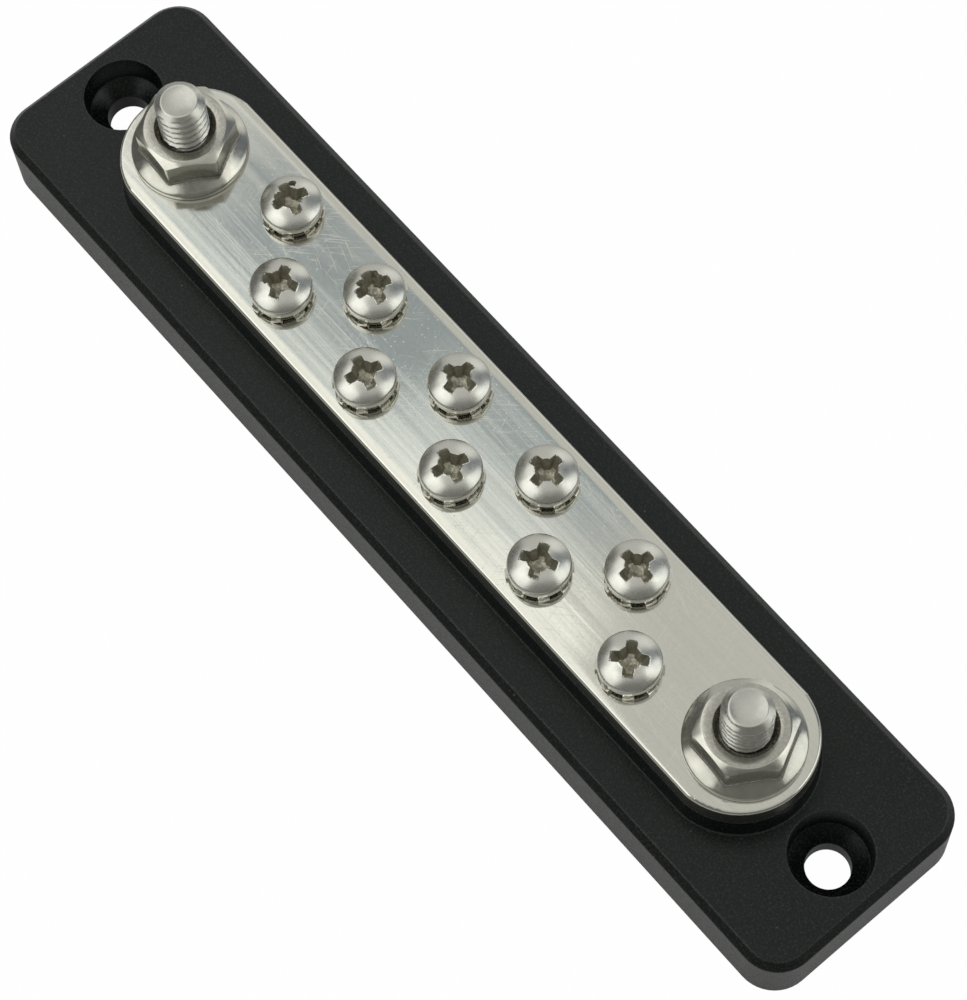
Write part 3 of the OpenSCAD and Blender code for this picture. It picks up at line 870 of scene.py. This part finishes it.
class BUSBAR_OT_washers(bpy.types.Operator):
    """Make the toothed lock washers"""

    bl_idname = "bus_bar.washers"
    bl_label = "Lock Washers"

    def execute(self, context):
        tones = context.scene.bus_bar_finish
        steel = steel_finish("washer_plating", tones.washer, tones.washer_dull, rough=(0.13, 0.19),
                             stained=0.3, grain_mm=0.001, edge_mm=0.07)
        for node, turn in zip(WASHER_NODES, WASHER_TURNS):
            lo, hi, centre = node_box(node)
            sizes = SizesInMm(context.scene.bus_bar_washer, height=hi.z - lo.z)
            points, faces = washer_mesh(sizes)
            points = turned(points, turn) + centre + np.array([0, 0, lo.z])
            piece("toothed_" + node, node, points, faces, steel, crease=25.0)
        return {"FINISHED"}


def direction(azimuth, elevation):
    """A direction from its azimuth and elevation in degrees."""
    a, e = math.radians(azimuth), math.radians(elevation)
    return Vector((math.cos(a) * math.cos(e), math.sin(a) * math.cos(e), math.sin(e)))


def studio_floor(stage):
    """A wide sheet of pale paper that keeps the shadow, with a painted pool of light round the part that
    fades with distance.
    """
    shape = bmesh.new()
    bmesh.ops.create_grid(shape, x_segments=8, y_segments=8, size=FLOOR_REACH)
    mesh = bpy.data.meshes.new("paper_floor")
    shape.to_mesh(mesh)
    shape.free()
    floor = bpy.data.objects.new("paper_floor", mesh)
    floor.location.z = -FLOOR_DROP
    bpy.context.scene.collection.objects.link(floor)
    g = FinishGraph("white_paper")
    fibre = g.mix(g.noise(0.8, 3.0), stage.floor, tuple(c * 0.985 for c in stage.floor))
    paper = g.node("ShaderNodeBsdfDiffuse", {"Color": fibre}).outputs[0]
    white = g.node("ShaderNodeEmission", {"Color": (1, 1, 1, 1), "Strength": 1.0}).outputs[0]
    rays = g.node("ShaderNodeLightPath").outputs
    mirrored = g.math("MAXIMUM", rays["Is Glossy Ray"], rays["Is Transmission Ray"])
    mirrored = g.math("MULTIPLY", mirrored, stage.floor_mirrored)
    seen = g.math("MAXIMUM", rays["Is Camera Ray"], mirrored)
    away = g.node("ShaderNodeVectorMath", {0: g.mm}, operation="LENGTH").outputs["Value"]
    # Painted pool of light: the white share fades away from the part
    share = g.math("MULTIPLY", seen, g.band(away, *LIGHT_POOL_FADE, stage.floor_white, LIGHT_POOL_RIM_WHITE))
    mixed = g.node("ShaderNodeMixShader", {0: share, 1: paper, 2: white}).outputs[0]
    g.tree.links.new(mixed, g.output.inputs["Surface"])
    mesh.materials.append(g.material)


def studio_world(stage, camera_azimuth):
    """A pale studio: lighter behind the bar, dimmer behind the camera, with brighter and darker patches."""
    world = bpy.data.worlds.new("studio")
    world.use_nodes = True
    bpy.context.scene.world = world
    g = NodeGraph(world.node_tree)
    looking = g.node("ShaderNodeTexCoord").outputs["Generated"]
    sky = stage.near_side
    for turn, elevation, begins, full, tone in STUDIO_PATCHES:
        toward = direction(camera_azimuth + turn, elevation)
        sky = g.mix(g.band(g.dot(looking, toward), begins, full), sky, getattr(stage, tone))
    back = g.node("ShaderNodeBackground", {"Color": sky}).outputs[0]
    g.node("ShaderNodeOutputWorld", {"Surface": back})


def softbox(name, place, size, radiance, spin):
    """An area lamp whose face has a given brightness, pointed at the part and turned about its own axis."""
    lamp = bpy.data.lights.new(name, "AREA")
    lamp.shape = "RECTANGLE"
    lamp.size, lamp.size_y = size
    lamp.energy = radiance * math.pi * size[0] * size[1]
    lamp.color = LAMP_COLOUR
    obj = bpy.data.objects.new(name, lamp)
    bpy.context.scene.collection.objects.link(obj)
    obj.location = place
    obj.rotation_euler = (Vector(LAMP_TARGET) - place).to_track_quat("-Z", "Y").to_euler()
    obj.rotation_euler.rotate_axis("Z", math.radians(spin))


def photo_camera(stage):
    """A camera that stands where the photograph was taken from."""
    a, e, roll = stage.view_azimuth, stage.view_elevation, stage.view_roll
    back = Vector((math.sin(a) * math.cos(e), -math.cos(a) * math.cos(e), math.sin(e)))
    right = Vector((math.cos(a), math.sin(a), 0))
    up = back.cross(right)
    turned_right = right * math.cos(roll) + up * math.sin(roll)
    turned_up = up * math.cos(roll) - right * math.sin(roll)
    camera = bpy.data.cameras.new("photo_camera")
    camera.sensor_fit = "HORIZONTAL"
    camera.sensor_width = SENSOR_MM
    camera.lens = stage.lens
    camera.clip_start = 0.01
    obj = bpy.data.objects.new("photo_camera", camera)
    place = turned_right * stage.view_right - turned_up * stage.view_down + back * stage.view_distance
    axes = Matrix((turned_right, turned_up, back)).transposed().to_4x4()
    obj.matrix_world = Matrix.Translation(place) @ axes
    bpy.context.scene.collection.objects.link(obj)
    bpy.context.scene.camera = obj


class BUSBAR_OT_stage(bpy.types.Operator):
    """Set the floor, the lights and the camera"""

    bl_idname = "bus_bar.stage"
    bl_label = "Photo Stage"

    def execute(self, context):
        stage = context.scene.bus_bar_stage
        context.scene.view_settings.view_transform = "Standard"
        photo_camera(stage)
        camera_azimuth = math.degrees(stage.view_azimuth) - 90
        studio_floor(stage)
        studio_world(stage, camera_azimuth)
        for name, turn, elevation, distance, size, brightness, share, spin in SOFTBOXES:
            place = direction(camera_azimuth + turn, elevation) * distance
            softbox(name, place, size, getattr(stage, brightness) * share, spin)
        return {"FINISHED"}


class BUSBAR_PT_panel(bpy.types.Panel):
    """Lists the steps that dress the bus bar"""

    bl_idname = "BUSBAR_PT_panel"
    bl_label = "Bus Bar"
    bl_space_type = "VIEW_3D"
    bl_region_type = "UI"
    bl_category = "Bus Bar"

    def draw(self, context):
        for step in STEPS:
            self.layout.operator(step.bl_idname)
        for key in GROUPS:
            group = getattr(context.scene, key)
            box = self.layout.box()
            for name in group.__annotations__:
                box.prop(group, name)


STEPS = (
    BUSBAR_OT_base,
    BUSBAR_OT_bar,
    BUSBAR_OT_studs,
    BUSBAR_OT_nuts,
    BUSBAR_OT_screws,
    BUSBAR_OT_washers,
    BUSBAR_OT_stage,
)
GROUPS = {
    "bus_bar_stud": BusBarStudSizes,
    "bus_bar_nut": BusBarNutSizes,
    "bus_bar_screw": BusBarScrewSizes,
    "bus_bar_washer": BusBarWasherSizes,
    "bus_bar_finish": BusBarFinish,
    "bus_bar_stage": BusBarStage,
}


def register():
    """Makes the steps, the panel and the settings known to Blender."""
    for group in GROUPS.values():
        bpy.utils.register_class(group)
    for step in STEPS:
        bpy.utils.register_class(step)
    bpy.utils.register_class(BUSBAR_PT_panel)
    for key, group in GROUPS.items():
        setattr(bpy.types.Scene, key, PointerProperty(type=group))


def unregister():
    """Takes the settings, the panel and the steps out again."""
    for key in GROUPS:
        delattr(bpy.types.Scene, key)
    bpy.utils.unregister_class(BUSBAR_PT_panel)
    for step in reversed(STEPS):
        bpy.utils.unregister_class(step)
    for group in GROUPS.values():
        bpy.utils.unregister_class(group)


def main():
    """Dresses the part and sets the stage."""
    register()
    bpy.ops.bus_bar.base()
    bpy.ops.bus_bar.bar()
    bpy.ops.bus_bar.studs()
    bpy.ops.bus_bar.nuts()
    bpy.ops.bus_bar.screws()
    bpy.ops.bus_bar.washers()
    bpy.ops.bus_bar.stage()


if __name__ == "__main__":
    main()
